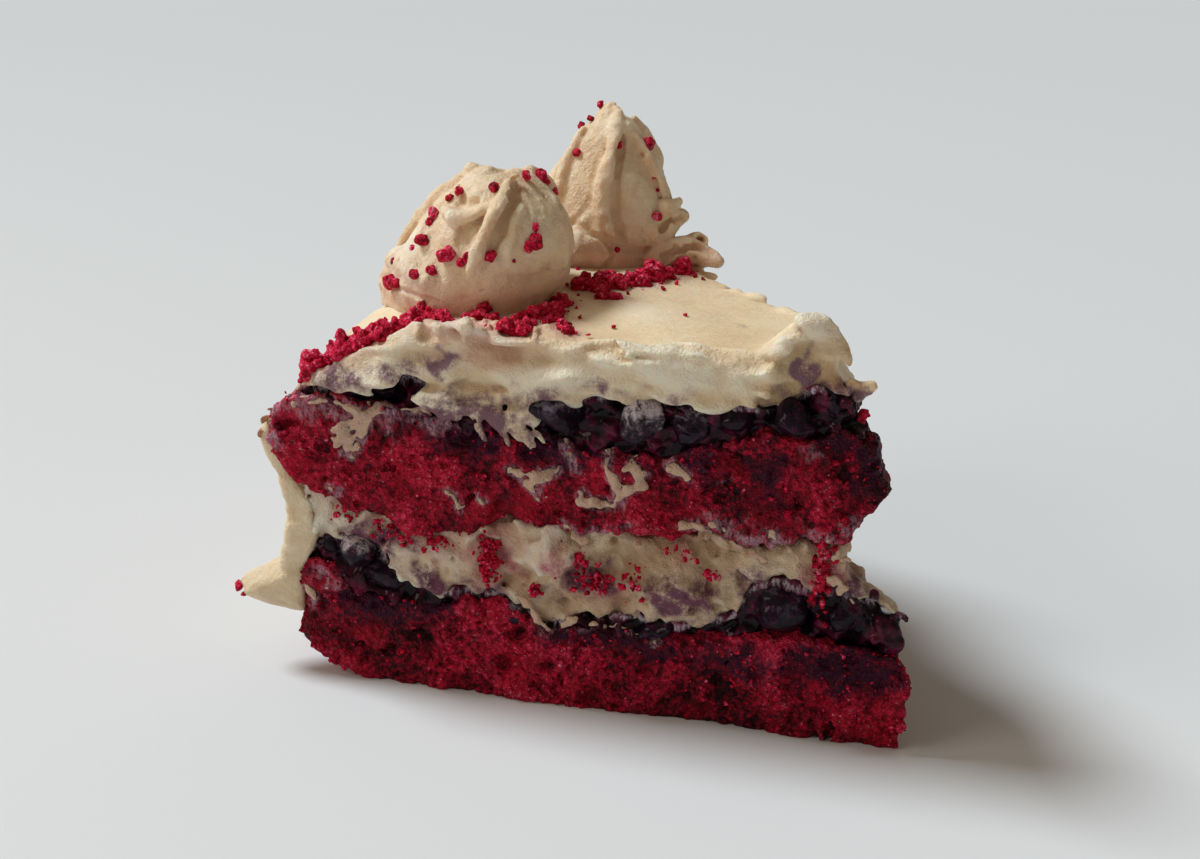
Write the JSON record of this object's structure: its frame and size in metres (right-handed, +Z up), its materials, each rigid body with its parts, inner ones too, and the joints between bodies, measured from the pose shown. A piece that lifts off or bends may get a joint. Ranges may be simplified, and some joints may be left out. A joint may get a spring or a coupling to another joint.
{
  "type": "red velvet cake slice",
  "caption": "Wedge of layered red sponge cake with blueberry filling, cream icing, piped swirls and red crumbs, standing upright on its flat base.",
  "frame": {"origin": "middle of the bounding box in plan, on the plane that the slice stands on", "axes": "+X along the front cut towards the slice's pointed tip, +Y from the front cut into the slice, +Z up"},
  "size_m": [0.1274, 0.0926, 0.1004],
  "materials": {
    "sponge": "matte",
    "cream": "satin",
    "berry": "gloss",
    "jam": "gloss"
  },
  "bodies": {
    "root": {"sponge_lower": "sponge", "jam_lower": "jam", "cream_middle": "cream", "sponge_upper": "sponge", "jam_upper": "jam", "icing": "cream", "swirl_low": "cream", "swirl_tall": "cream", "berry_front_upper_1": "berry", "berry_front_upper_2": "berry", "berry_front_upper_3": "berry", "berry_front_upper_4": "berry", "berry_front_upper_5": "berry", "berry_front_upper_6": "berry", "berry_front_upper_7": "berry", "berry_back_upper_1": "berry", "berry_back_upper_2": "berry", "berry_back_upper_3": "berry", "berry_back_upper_4": "berry", "berry_front_lower_1": "berry", "berry_front_lower_2": "berry", "berry_front_lower_3": "berry", "berry_front_lower_4": "berry", "berry_front_lower_5": "berry", "berry_front_lower_6": "berry", "berry_front_lower_7": "berry", "berry_back_lower_1": "berry", "berry_back_lower_2": "berry", "berry_back_lower_3": "berry"}
  },
  "joints": []
}
